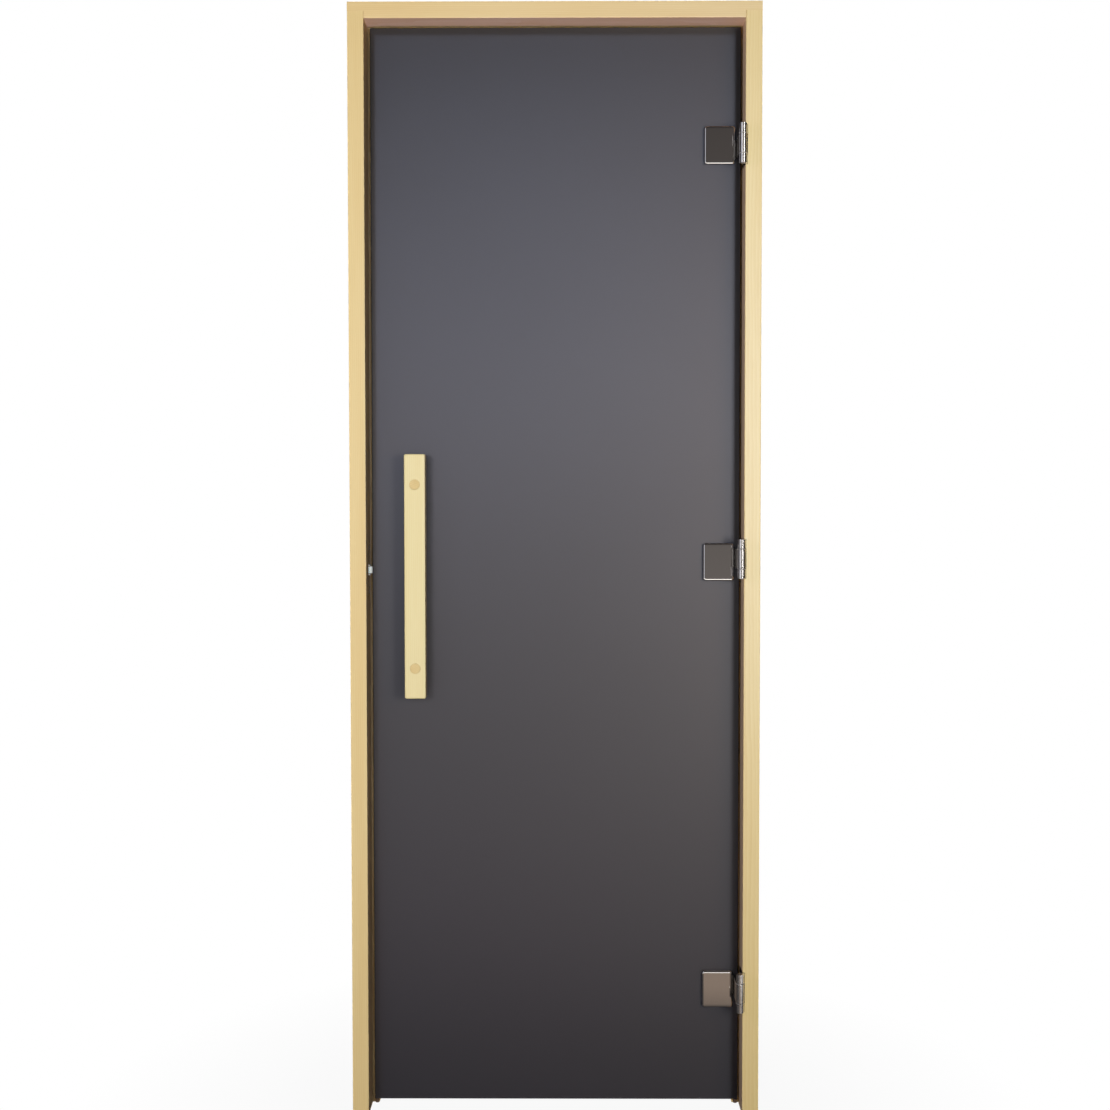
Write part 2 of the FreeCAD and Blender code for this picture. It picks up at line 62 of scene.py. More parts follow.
# %% Camera
CAMERA_PLACE = (-0.3345, -2.6608, 1.0631)
CAMERA_TILT_DOWN = math.radians(2.094)
CAMERA_TURN_LEFT = math.radians(0.337)
CAMERA_ROLL = math.radians(-0.04)
LENS_MM = 50.0

camera_data = bpy.data.cameras.new("door_camera")
camera_data.lens = LENS_MM
camera_data.sensor_width = 36.0
camera = bpy.data.objects.new("door_camera", camera_data)
scene.collection.objects.link(camera)
camera.matrix_world = (
    Matrix.Translation(CAMERA_PLACE)
    @ Matrix.Rotation(CAMERA_TURN_LEFT, 4, "Z")
    @ Matrix.Rotation(math.radians(90) - CAMERA_TILT_DOWN, 4, "X")
    @ Matrix.Rotation(CAMERA_ROLL, 4, "Z")
)
scene.camera = camera
scene.view_settings.view_transform = "Standard"
print("camera at", CAMERA_PLACE, "lens", LENS_MM, "mm")

# %% [markdown]
# Every material here is a small network of shader nodes. Four helpers keep the networks
# short enough to read. The first turns a colour as a person writes it (sRGB, as hex) into
# the linear numbers that light is worked out with. The second adds one node, sets its
# properties and input values, and links its inputs to what feeds them. The third starts
# a material, and the last tells rays that look at a thing from rays that only light it.

# %% Colour and node helpers
def linear(hex_colour):
    """Linear RGBA of an sRGB hex: dark channels are divided, the rest raised to a power of 2.4."""
    channels = [int(hex_colour[start:start + 2], 16) / 255 for start in (1, 3, 5)]
    return [c / 12.92 if c <= 0.04045 else ((c + 0.055) / 1.055) ** 2.4 for c in channels] + [1.0]


def add(tree, kind, values={}, links={}, **settings):
    """Adds one node: settings are its properties, values its plain inputs, links its wired ones."""
    made = tree.nodes.new(kind)
    for name, setting in settings.items():
        setattr(made, name, setting)
    for name, value in values.items():
        made.inputs[name].default_value = value
    for name, source in links.items():
        tree.links.new(source, made.inputs[name])
    return made


def new_material(name):
    """An empty material with only its output, ready for a surface."""
    material = bpy.data.materials.new(name)
    material.use_nodes = True
    tree = material.node_tree
    tree.nodes.clear()
    return material, tree, tree.nodes.new("ShaderNodeOutputMaterial")


def looking_rays(tree):
    """One for rays that look (camera, glossy and transmitted ones), nought for those that only light."""
    path = add(tree, "ShaderNodeLightPath")
    looking = path.outputs["Is Camera Ray"]
    for kind in ("Is Glossy Ray", "Is Transmission Ray"):
        looking = add(tree, "ShaderNodeMath", {}, {0: looking, 1: path.outputs[kind]},
                      operation="MAXIMUM").outputs[0]
    return looking


# %% [markdown]
# The studio. The door stands on a plain pale floor that fades into a white surround, so
# the picture has no horizon. The floor is part diffuse, which keeps the door's soft
# shadow, and part self-lit white. Both are white only to rays that look. As a light the
# surround is a dim, slightly cool fill, and the floor is a grey paint.

# %% Floor and surround
FLOOR_RADIUS = 9.0
FLOOR_CLEAR_RADIUS = 0.36
FLOOR_FADE_RADIUS = 0.85
FLOOR_SHARE_OF_WHITE = 0.94
DOOR_CENTRE = Vector((-0.35, 0.0, 0.0))
FILL_STRENGTH = 0.05
SAME_POINT = 1e-7

def white_floor():
    """A floor whose colour is a mix of shaded paint and plain white; the white share grows outwards."""
    material, tree, output = new_material("studio_floor_paint")
    place = add(tree, "ShaderNodeTexCoord")
    reach = add(tree, "ShaderNodeVectorMath", {1: DOOR_CENTRE}, {0: place.outputs["Object"]},
                operation="DISTANCE")
    share = add(tree, "ShaderNodeMapRange", {
        "From Min": FLOOR_CLEAR_RADIUS, "From Max": FLOOR_FADE_RADIUS,
        "To Min": FLOOR_SHARE_OF_WHITE, "To Max": 1.0}, {"Value": reach.outputs["Value"]})
    paint = add(tree, "ShaderNodeBsdfDiffuse", {"Color": linear("#6b6762")})
    white = add(tree, "ShaderNodeEmission", {"Strength": 1.0})
    shown = add(tree, "ShaderNodeMath", {}, {0: looking_rays(tree), 1: share.outputs["Result"]},
                operation="MULTIPLY")
    mix = add(tree, "ShaderNodeMixShader", {}, {
        "Fac": shown.outputs[0], 1: paint.outputs[0], 2: white.outputs[0]})
    tree.links.new(mix.outputs[0], output.inputs["Surface"])
    return material


def disc(radius, rings, spokes, height=0.0):
    """Points at radius times a ring share, turned through the spokes, all at one height."""
    share = np.linspace(0.0, 1.0, rings)[:, None]
    angle = np.linspace(0, 2 * math.pi, spokes, endpoint=False)[None, :]
    x = DOOR_CENTRE.x + radius * share * np.cos(angle)
    y = DOOR_CENTRE.y + radius * share * np.sin(angle)
    return np.stack([x, y, np.full_like(x, height)], axis=-1)


def quads(rows, columns, wrap_rows=False, wrap_columns=False):
    """Corner numbers of each cell of a grid of points; where it wraps, the last joins the first."""
    row = np.arange(rows if wrap_rows else rows - 1)[:, None]
    column = np.arange(columns if wrap_columns else columns - 1)[None, :]
    next_row, next_column = (row + 1) % rows, (column + 1) % columns
    corners = [row * columns + column, row * columns + next_column,
               next_row * columns + next_column, next_row * columns + column]
    return np.stack(np.broadcast_arrays(*corners), axis=-1).reshape(-1, 4)


def mesh_object(name, grids, sharp_degrees=35.0):
    """One object from grids, each (points, wrap_rows, wrap_columns); poles close as points merge."""
    points, faces, count = [], [], 0
    for grid, wrap_rows, wrap_columns in grids:
        faces.append(quads(grid.shape[0], grid.shape[1], wrap_rows, wrap_columns) + count)
        points.append(grid.reshape(-1, 3))
        count += grid.shape[0] * grid.shape[1]
    mesh = bpy.data.meshes.new(name)
    mesh.from_pydata(np.concatenate(points).tolist(), [], np.concatenate(faces).tolist())
    work = bmesh.new()
    work.from_mesh(mesh)
    bmesh.ops.remove_doubles(work, verts=work.verts, dist=SAME_POINT)
    bmesh.ops.recalc_face_normals(work, faces=work.faces)
    work.to_mesh(mesh)
    work.free()
    mesh.shade_smooth()
    mesh.set_sharp_from_angle(angle=math.radians(sharp_degrees))
    made = bpy.data.objects.new(name, mesh)
    scene.collection.objects.link(made)
    return made


floor = mesh_object("studio_floor", [(disc(FLOOR_RADIUS, 8, 64), False, True)])
floor.data.materials.append(white_floor())

world = bpy.data.worlds.new("studio_surround")
scene.world = world
world.use_nodes = True
sky = world.node_tree
sky.nodes.clear()
fill = add(sky, "ShaderNodeBackground", {"Color": linear("#dcdfff"), "Strength": FILL_STRENGTH})
white = add(sky, "ShaderNodeBackground", {"Color": linear("#ffffff"), "Strength": 1.0})
mix = add(sky, "ShaderNodeMixShader", {}, {
    "Fac": looking_rays(sky), 1: fill.outputs[0], 2: white.outputs[0]})
add(sky, "ShaderNodeOutputWorld", {}, {"Surface": mix.outputs[0]})
print("floor radius", FLOOR_RADIUS, "m, fill light", FILL_STRENGTH)

# %% [markdown]
# The lights are softboxes, which are area lamps turned towards the door. Light linking
# lets a lamp light chosen parts only, and two flags let it count as matte light, as a
# highlight, or as both. That is how each jamb has a key of its own: it stands on the
# jamb's outer side, so that the reveal, which faces the doorway, stays in shade. The
# satin glass has four lamps for its highlight alone: from warm right to cool left, and
# one that lies low and lifts its foot. Plain softboxes at the sides, behind and above
# keep the other views well lit.

# %% Softboxes
def softbox(name, place, aim, size, watts, colour="#ffffff", matte=True, gloss=True,
            only=(), spare=()):
    """An area lamp at place, facing aim, width by height; only and spare list what it lights or not."""
    lamp = bpy.data.lights.new(name, "AREA")
    lamp.shape = "RECTANGLE"
    lamp.size, lamp.size_y = size
    lamp.energy = watts
    lamp.color = linear(colour)[:3]
    made = bpy.data.objects.new(name, lamp)
    scene.collection.objects.link(made)
    made.location = place
    made.rotation_euler = (Vector(aim) - Vector(place)).to_track_quat("-Z", "Y").to_euler()
    made.visible_camera = False
    made.visible_diffuse = matte
    made.visible_glossy = gloss
    made.visible_transmission = gloss
    if only or spare:
        chosen = bpy.data.collections.new(name + "_choice")
        for thing in (*only, *spare):
            chosen.objects.link(thing)
        for entry in chosen.collection_objects:
            entry.light_linking.link_state = "EXCLUDE" if spare else "INCLUDE"
        made.light_linking.receiver_collection = chosen
    return made


hinge_jamb, latch_jamb, head_rail = nodes["hinge_jamb"], nodes["latch_jamb"], nodes["head_rail"]
outer_bar, panel = nodes["outer_handle"], nodes["glass_panel"]
woodwork = (hinge_jamb, latch_jamb, head_rail, outer_bar)
DOOR_MIDDLE = (-0.35, 0.0, 1.0)

KEY_SIZE = (0.45, 0.9)
softbox("key_softbox", (-0.72, -2.95, 1.45), (-0.3, 0.0, 1.2), KEY_SIZE, 88, "#f2f9ff",
        gloss=False, spare=(hinge_jamb, latch_jamb))
softbox("hinge_jamb_key", (0.45, -2.95, 1.45), (-0.02, 0.0, 1.2), KEY_SIZE, 76, "#f5fff9",
        gloss=False, only=(hinge_jamb,))
softbox("latch_jamb_key", (-1.3, -2.95, 1.45), (-0.68, 0.0, 1.2), KEY_SIZE, 91, "#f2f9ff",
        gloss=False, only=(latch_jamb,))
softbox("hinge_reveal_glow", (-2.6, -0.8, 1.6), (-0.03, 0.0, 1.5), (0.8, 1.4), 28, "#c4c2ff",
        gloss=False, only=(hinge_jamb,))
softbox("foot_softbox", (-0.35, -2.2, 0.3), (-0.35, 0.0, 0.4), (1.2, 0.4), 2.5, "#ffe0b8",
        gloss=False)
softbox("soffit_glow", (-0.35, -0.35, 0.06), (-0.35, -0.02, 1.9), (0.7, 0.3), 15, "#b8a4ff",
        gloss=False, only=(head_rail,))
softbox("wood_sheen", (0.5, -2.9, 1.3), (-0.1, 0.0, 1.2), (0.6, 1.2), 131, "#e4f1ff",
        matte=False, only=woodwork)

for name, place, aim, size, watts, colour in (
        ("glass_bloom", (1.0, -2.9, 1.12), (-0.2, 0.0, 1.05), (0.6, 1.0), 78, "#fff8f6"),
        ("glass_warm", (1.9, -2.3, 1.4), (-0.2, 0.0, 1.2), (1.2, 0.7), 52, "#ffca9a"),
        ("glass_cool", (-1.2, -2.9, 1.25), (-0.4, 0.0, 1.2), (0.6, 0.8), 29, "#efe7f0"),
        ("glass_foot", (-0.5, -1.0, 0.03), (-0.4, 0.0, 0.25), (0.9, 0.3), 1.5, "#ffd0ee")):
    softbox(name, place, aim, size, watts, colour, matte=False, only=(panel,))

softbox("left_panel", (-2.6, -2.2, 1.6), DOOR_MIDDLE, (2.0, 3.2), 16, "#e4ebff", matte=False)
for name, across in (("right_side_softbox", 2.6), ("left_side_softbox", -3.3)):
    softbox(name, (across, 0.75, 1.2), DOOR_MIDDLE, (1.2, 2.0), 50, gloss=False, spare=(floor,))
rear_plates = [nodes[hinge + "_rear_plate"] for hinge in HINGES]
softbox("back_softbox", (-0.35, 3.4, 1.9), DOOR_MIDDLE, (2.0, 1.6), 80, spare=(floor, *rear_plates))
softbox("top_softbox", (-0.35, 0.5, 4.2), (-0.35, 0.1, 1.9), (2.0, 1.0), 40, spare=(floor,))

# %% [markdown]
# Polished metal shows whatever stands in front of it. In an all-white studio it would
# lose its shape, so the room round the door is dim: a dome in grey, a round mat on the
# floor and a dark flag at each side, which draws the dark edges of the hinge barrels.
# The mat is lightest where the lowest cover mirrors it, and darker round that place, so
# that the barrel beside the cover keeps its shape. All are seen only in reflections. The
# dome is half an ellipsoid: its radius times the cosine of the rise goes outwards, and
# its height times the sine of the rise goes up.

# %% Grey room in the reflections
ROOM_RADIUS = 4.6
ROOM_HEIGHT = 5.2
ROOM_FADE_HEIGHT = 4.0
MAT_RADIUS = 1.12
MAT_HEIGHT = 2 * MM
MAT_LIGHT_PLACE = (0.03, -0.9, 0)
MAT_LIGHT_RADIUS, MAT_DARK_RADIUS = 0.25, 0.6
FLAG_HEIGHT = 3.4
FLAG_FRONT, FLAG_BACK = -0.5, 1.0
UPRIGHT, LEVEL = (0, 0, 1), (1, 1, 0)

def room_grey(name, near_colour, far_colour, start, end, centre=(0, 0, 0), axes=UPRIGHT):
    """A self-lit grey that changes with the distance from a centre, counted along the given axes."""
    material, tree, output = new_material(name)
    place = add(tree, "ShaderNodeTexCoord")
    away = add(tree, "ShaderNodeVectorMath", {1: centre}, {0: place.outputs["Object"]},
               operation="SUBTRACT")
    away = add(tree, "ShaderNodeVectorMath", {1: axes}, {0: away.outputs[0]}, operation="MULTIPLY")
    reach = add(tree, "ShaderNodeVectorMath", {}, {0: away.outputs[0]}, operation="LENGTH")
    share = add(tree, "ShaderNodeMapRange", {"From Min": start, "From Max": end},
                {"Value": reach.outputs["Value"]})
    tint = add(tree, "ShaderNodeMix", {"A": linear(near_colour), "B": linear(far_colour)},
               {"Factor": share.outputs["Result"]}, data_type="RGBA")
    glow = add(tree, "ShaderNodeEmission", {"Strength": 1.0}, {"Color": tint.outputs["Result"]})
    tree.links.new(glow.outputs[0], output.inputs["Surface"])
    return material


def seen_only_in_reflections(made):
    """Hides a studio piece from every ray but glossy ones."""
    made.visible_camera = False
    made.visible_diffuse = False
    made.visible_transmission = False
    made.visible_shadow = False


turn = np.linspace(0, 2 * math.pi, 72, endpoint=False)[None, :]
rise = np.radians(np.linspace(0, 90, 19))[:, None]
dome = np.stack(np.broadcast_arrays(DOOR_CENTRE.x + ROOM_RADIUS * np.cos(rise) * np.cos(turn),
                                    ROOM_RADIUS * np.cos(rise) * np.sin(turn),
                                    ROOM_HEIGHT * np.sin(rise)), axis=-1)
room = mesh_object("grey_room_dome", [(dome, False, True)])
room.data.materials.append(room_grey("grey_room_paint", "#757170", "#2a2728", 0.0, ROOM_FADE_HEIGHT))
seen_only_in_reflections(room)
mat = mesh_object("grey_floor_mat", [(disc(MAT_RADIUS, 4, 64, MAT_HEIGHT), False, True)])
mat.data.materials.append(room_grey("grey_mat_felt", "#918379", "#4a4746", MAT_LIGHT_RADIUS,
                                    MAT_DARK_RADIUS, MAT_LIGHT_PLACE, LEVEL))
seen_only_in_reflections(mat)
flag_cloth = room_grey("dark_flag_cloth", "#1c1b1b", "#1c1b1b", 0.0, 1.0)
for side, across in (("left", -2.9), ("right", 2.4)):
    level = np.linspace(0, FLAG_HEIGHT, 4)[:, None]
    depth = np.linspace(FLAG_FRONT, FLAG_BACK, 4)[None, :]
    flag_points = np.stack(np.broadcast_arrays(across, depth, level), axis=-1)
    flag = mesh_object(side + "_dark_flag", [(flag_points, False, False)])
    flag.data.materials.append(flag_cloth)
    seen_only_in_reflections(flag)
print("grey room: dome", ROOM_RADIUS, "m, mat", MAT_RADIUS, "m, two flags", FLAG_HEIGHT, "m high")

# %% [markdown]
# The wood is a pale, even-grained hardwood such as aspen or linden, planed and sanded
# and left untreated, as sauna wood is. To the eye that is a cream surface with faint,
# nearly parallel growth lines and very fine fibres. The grain is built in space and not
# painted on: growth layers are rings round a far-off pith that runs with the board, so
# faces along the board show lines and sawn ends show arcs, as real timber does. The
# layers bend slowly, about every 110 mm across the board and 900 mm along it, and pale
# patches are about 18 mm wide and 330 mm long. The fibres are drawn 0.9 mm wide, coarser
# than real, so that they can show. The wave node's phase is twenty times its scale times
# the distance, so its scale is worked out with that twenty.

# %% Wood
RING_SPACING = 3.2 * MM
WAVE_NODE_RATE = 20
FIBRE_WIDTH = 0.9 * MM
FIBRE_LENGTH = 70 * MM
FIBRE_RELIEF = 0.08 * MM
GRAIN_BEND = 28 * MM
BENDS_PER_METRE = (9, 9, 1.1)
PATCHES_PER_METRE = (55, 55, 3.0)
RING_WEIGHT, FIBRE_WEIGHT, PATCH_WEIGHT = 0.30, 0.45, 0.6
PALEST_SUM, DARKEST_SUM = 0.45, 0.95

def wood(name, pale, dark, turn=(0, 0, 0), pith=(0.11, 0.19, 0), contrast=0.5):
    """Growth layers are a wave of the distance from the pith, bent by slow noise, and fibres are
    noise drawn out along Z. The weighted sum of both and of patches goes from pale to dark."""
    material, tree, output = new_material(name)
    place = add(tree, "ShaderNodeTexCoord")
    board = add(tree, "ShaderNodeMapping", {"Rotation": turn, "Location": pith},
                {"Vector": place.outputs["Object"]})
    slow_place = add(tree, "ShaderNodeMapping", {"Scale": BENDS_PER_METRE},
                     {"Vector": board.outputs[0]})
    slow = add(tree, "ShaderNodeTexNoise", {"Scale": 1.0, "Detail": 3.0, "Roughness": 0.5},
               {"Vector": slow_place.outputs[0]})
    bend = add(tree, "ShaderNodeVectorMath", {1: (0.5, 0.5, 0.5)}, {0: slow.outputs["Color"]},
               operation="SUBTRACT")
    bend = add(tree, "ShaderNodeVectorMath", {"Scale": GRAIN_BEND}, {0: bend.outputs[0]},
               operation="SCALE")
    bent = add(tree, "ShaderNodeVectorMath", {}, {0: board.outputs[0], 1: bend.outputs[0]},
               operation="ADD")
    rings = add(tree, "ShaderNodeTexWave", {
        "Scale": 2 * math.pi / (WAVE_NODE_RATE * RING_SPACING), "Distortion": 1.6, "Detail": 2.0,
        "Detail Scale": 0.6},
        {"Vector": bent.outputs[0]}, wave_type="RINGS", rings_direction="Z", wave_profile="SAW")
    fibre_place = add(tree, "ShaderNodeMapping", {
        "Scale": (1 / FIBRE_WIDTH, 1 / FIBRE_WIDTH, 1 / FIBRE_LENGTH)}, {"Vector": bent.outputs[0]})
    fibres = add(tree, "ShaderNodeTexNoise", {"Scale": 1.0, "Detail": 4.0, "Roughness": 0.65},
                 {"Vector": fibre_place.outputs[0]})
    patch_place = add(tree, "ShaderNodeMapping", {"Scale": PATCHES_PER_METRE},
                      {"Vector": board.outputs[0]})
    patches = add(tree, "ShaderNodeTexNoise", {"Scale": 1.0, "Detail": 2.0},
                  {"Vector": patch_place.outputs[0]})
    late, streak, blotch = (
        add(tree, "ShaderNodeMath", {1: weight}, {0: pattern.outputs["Fac"]}, operation="MULTIPLY")
        for pattern, weight in ((rings, RING_WEIGHT), (fibres, FIBRE_WEIGHT), (patches, PATCH_WEIGHT)))
    shade = add(tree, "ShaderNodeMath", {}, {0: late.outputs[0], 1: streak.outputs[0]},
                operation="ADD")
    shade = add(tree, "ShaderNodeMath", {}, {0: shade.outputs[0], 1: blotch.outputs[0]},
                operation="ADD")
    shade = add(tree, "ShaderNodeMapRange", {
        "From Min": PALEST_SUM, "From Max": DARKEST_SUM, "To Min": 0.5 - contrast / 2,
        "To Max": 0.5 + contrast / 2}, {"Value": shade.outputs[0]})
    tint = add(tree, "ShaderNodeMix", {"A": linear(pale), "B": linear(dark)},
               {"Factor": shade.outputs["Result"]}, data_type="RGBA")
    gloss = add(tree, "ShaderNodeMapRange", {"To Min": 0.42, "To Max": 0.56},
                {"Value": fibres.outputs["Fac"]})
    relief = add(tree, "ShaderNodeBump", {"Strength": 0.25, "Distance": FIBRE_RELIEF},
                 {"Height": fibres.outputs["Fac"]})
    surface = add(tree, "ShaderNodeBsdfPrincipled", {"IOR": 1.5}, {
        "Base Color": tint.outputs["Result"], "Roughness": gloss.outputs["Result"],
        "Normal": relief.outputs[0]})
    tree.links.new(surface.outputs[0], output.inputs["Surface"])
    return material


QUARTER = math.radians(90)
upright_wood = wood("aspen_upright_grain", "#eed297", "#ddb672")
crosswise_wood = wood("aspen_crosswise_grain", "#ebcf96", "#dab26e", turn=(0, QUARTER, 0),
                      pith=(0.09, 0.17, 0.3))
handle_wood = wood("aspen_handle", "#f0dda9", "#e1c684", pith=(0.31, 0.08, 0.1), contrast=0.45)
plug_wood = wood("aspen_plug", "#eacf98", "#d9b677", turn=(QUARTER, 0, 0), pith=(0.2, 0.1, 0.0),
                 contrast=0.6)
print("wood: rings every", RING_SPACING / MM, "mm, fibres", FIBRE_WIDTH / MM, "mm wide")

# %% [markdown]
# The leaf is toughened dark grey glass whose faces are etched to a satin finish. Etching
# leaves a surface of microscopic pits, so both the reflection and the little light that
# comes through are spread wide: no clear picture, only a soft bloom. That is a rough
# dielectric over a dark tint, and a fine noise in the relief stands for the etching. It
# has 0.7 mm grain, coarser than real, so that it can show. The etch is never quite even,
# so its roughness drifts a little over clouds of half a metre.

# %% Satin glass
ETCH_GRAIN = 0.7 * MM
ETCH_DEPTH = 0.03 * MM
ETCH_CLOUDS_PER_METRE = 2.2
SMOOTHEST_ETCH, ROUGHEST_ETCH = 0.50, 0.56

def satin_glass():
    """Full transmission through a dark tint; slow noise sets the roughness between its smoothest
    and its roughest value, and fine noise tilts the surface."""
    material, tree, output = new_material("satin_etched_grey_glass")
    place = add(tree, "ShaderNodeTexCoord")
    pits = add(tree, "ShaderNodeTexNoise", {"Scale": 1 / ETCH_GRAIN, "Detail": 2.0},
               {"Vector": place.outputs["Object"]})
    clouds = add(tree, "ShaderNodeTexNoise", {"Scale": ETCH_CLOUDS_PER_METRE, "Detail": 2.0},
                 {"Vector": place.outputs["Object"]})
    satin = add(tree, "ShaderNodeMapRange", {"To Min": SMOOTHEST_ETCH, "To Max": ROUGHEST_ETCH},
                {"Value": clouds.outputs["Fac"]})
    relief = add(tree, "ShaderNodeBump", {"Strength": 0.06, "Distance": ETCH_DEPTH},
                 {"Height": pits.outputs["Fac"]})
    surface = add(tree, "ShaderNodeBsdfPrincipled", {
        "Base Color": linear("#181a20"), "IOR": 1.52, "Transmission Weight": 1.0},
        {"Roughness": satin.outputs["Result"], "Normal": relief.outputs[0]})
    tree.links.new(surface.outputs[0], output.inputs["Surface"])
    return material


glass = satin_glass()
print("glass: etch drawn at", ETCH_GRAIN / MM, "mm, coarser than real so that it can show")

# %% [markdown]
# The hinges are stainless steel, buffed to a mirror on the covers and left with faint
# turning or rolling lines elsewhere. A buffed sheet is never quite flat or quite clean,
# so its roughness wanders a little and its relief has shallow waves, 22 mm long. The
# lines on a turned part run round it, which a noise squeezed along the part's axis gives.
# They are drawn 0.4 to 4 mm apart, coarser than real, so that they can show. The hinge's
# knuckles are turned bright. The strap and the arm outside them get a darker colour that is
# painted shade and painted dark reflection, so one steel takes its colour from the distance
# to the pin.

# %% Steel
pin_low, pin_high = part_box("upper_hinge_pin")
PIN_AXIS = ((pin_low[0] + pin_high[0]) / 2, (pin_low[1] + pin_high[1]) / 2, 0.0)
KNUCKLE_RADIUS = PIN_AXIS[1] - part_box("upper_jamb_leaf")[0][1]
# The painted shade and dark reflection on the strap and arm starts 0.1 mm outside the knuckles and is
# full at 0.5 mm.
PAINTED_DARK_START, PAINTED_DARK_FULL = KNUCKLE_RADIUS + 0.1 * MM, KNUCKLE_RADIUS + 0.5 * MM
WAVES_PER_METRE = 45.0
LINE_DEPTH = 0.01 * MM

def steel(name, colour, rough, wander, lines_per_metre, wave_height, painted_dark=None):
    """The roughness is its mean plus or minus the wander, by a stretched noise that also draws
    the lines. A darker colour, which is painted shade and painted dark reflection, takes over
    where the distance to the pin passes the knuckles."""
    material, tree, output = new_material(name)
    place = add(tree, "ShaderNodeTexCoord")
    line_place = add(tree, "ShaderNodeMapping", {"Scale": lines_per_metre},
                     {"Vector": place.outputs["Object"]})
    lines = add(tree, "ShaderNodeTexNoise", {"Scale": 1.0, "Detail": 3.0},
                {"Vector": line_place.outputs[0]})
    waves = add(tree, "ShaderNodeTexNoise", {"Scale": WAVES_PER_METRE, "Detail": 1.0},
                {"Vector": place.outputs["Object"]})
    gloss = add(tree, "ShaderNodeMapRange", {"To Min": rough - wander, "To Max": rough + wander},
                {"Value": lines.outputs["Fac"]})
    relief = add(tree, "ShaderNodeBump", {"Strength": 0.5, "Distance": wave_height},
                 {"Height": waves.outputs["Fac"]})
    fine = add(tree, "ShaderNodeBump", {"Strength": 0.15, "Distance": LINE_DEPTH},
               {"Height": lines.outputs["Fac"], "Normal": relief.outputs[0]})
    surface = add(tree, "ShaderNodeBsdfPrincipled", {"Base Color": linear(colour), "Metallic": 1.0},
                  {"Roughness": gloss.outputs["Result"], "Normal": fine.outputs[0]})
    # Painted shade: outside the knuckles the colour turns darker, standing for the shade and dark
    # reflection of the strap and arm.
    if painted_dark:
        level = add(tree, "ShaderNodeVectorMath", {1: LEVEL}, {0: place.outputs["Object"]},
                    operation="MULTIPLY")
        reach = add(tree, "ShaderNodeVectorMath", {1: PIN_AXIS}, {0: level.outputs[0]},
                    operation="DISTANCE")
        share = add(tree, "ShaderNodeMapRange", {"From Min": PAINTED_DARK_START, "From Max": PAINTED_DARK_FULL},
                    {"Value": reach.outputs["Value"]})
        tint = add(tree, "ShaderNodeMix", {"A": linear(colour), "B": linear(painted_dark)},
                   {"Factor": share.outputs["Result"]}, data_type="RGBA")
        tree.links.new(tint.outputs["Result"], surface.inputs["Base Color"])
    tree.links.new(surface.outputs[0], output.inputs["Surface"])
    return material


mirror_steel = steel("buffed_stainless_steel", "#e4dfd9", 0.07, 0.03, (90, 90, 900), 0.02 * MM)
turned_steel = steel("turned_stainless_steel", "#d6d1cc", 0.15, 0.05, (120, 120, 2600), 0.0)
# The hinge steel's darker second colour is painted shade and painted dark reflection on the strap and
# the arm.
hinge_steel = steel("hinge_stainless_steel", "#d6d1cc", 0.20, 0.02, (90, 90, 260), 0.0,
                    painted_dark="#7b7875")
washer_steel = steel("satin_washer_steel", "#efebe6", 0.45, 0.05, (300, 300, 300), 0.0)
plated_steel = steel("nickel_plated_steel", "#d9d3c9", 0.24, 0.06, (300, 300, 300), 0.0)
screw_steel = steel("stainless_screw_steel", "#b9b5b0", 0.28, 0.08, (900, 900, 900), 0.0)
print("steels:", [metal.name for metal in bpy.data.materials if metal.name.endswith("steel")],
      "knuckle radius", round(KNUCKLE_RADIUS / MM, 2), "mm")

# %% [markdown]
# The soft parts: a brown silicone seal on the stop, clear silicone pads between metal
# and glass, and the catch's roller, which is white nylon. Rubber and silicone have a
# dull skin with a faint mottle from the mould; nylon is smooth, a little waxy, and lets
# light in just under its skin.

# %% Rubber, silicone and nylon
MOTTLE_WANDER = 0.08
MOTTLE_DEPTH = 0.05 * MM

def moulded(name, colour, rough, mottle_size, extra={}):
    """A moulded surface: one colour, mottled in roughness and relief by a noise of the given size."""
    material, tree, output = new_material(name)
    place = add(tree, "ShaderNodeTexCoord")
    mottle = add(tree, "ShaderNodeTexNoise", {"Scale": 1 / mottle_size, "Detail": 3.0},
                 {"Vector": place.outputs["Object"]})
    gloss = add(tree, "ShaderNodeMapRange",
                {"To Min": rough - MOTTLE_WANDER, "To Max": rough + MOTTLE_WANDER},
                {"Value": mottle.outputs["Fac"]})
    relief = add(tree, "ShaderNodeBump", {"Strength": 0.2, "Distance": MOTTLE_DEPTH},
                 {"Height": mottle.outputs["Fac"]})
    surface = add(tree, "ShaderNodeBsdfPrincipled", {"Base Color": linear(colour), **extra},
                  {"Roughness": gloss.outputs["Result"], "Normal": relief.outputs[0]})
    tree.links.new(surface.outputs[0], output.inputs["Surface"])
    return material


seal_silicone = moulded("brown_silicone_seal", "#5a4638", 0.62, 1.5 * MM)
pad_silicone = moulded("clear_silicone_pad", "#b9b9b4", 0.45, 1.2 * MM, {"Transmission Weight": 0.6})
roller_nylon = moulded("white_nylon", "#efece6", 0.38, 2.0 * MM, {"Subsurface Weight": 0.15})
print("soft parts:", seal_silicone.name, pad_silicone.name, roller_nylon.name)

# %% [markdown]
# Each part of the construction gets its finish by name, also the parts that the next
# steps make again with a finer mesh, so that the whole door can be looked at from here on.

# %% Dress the parts
def dress(names, material):
    """Gives each named part one material in place of its plain one."""
    for name in names:
        nodes[name].data.materials.clear()
        nodes[name].data.materials.append(material)


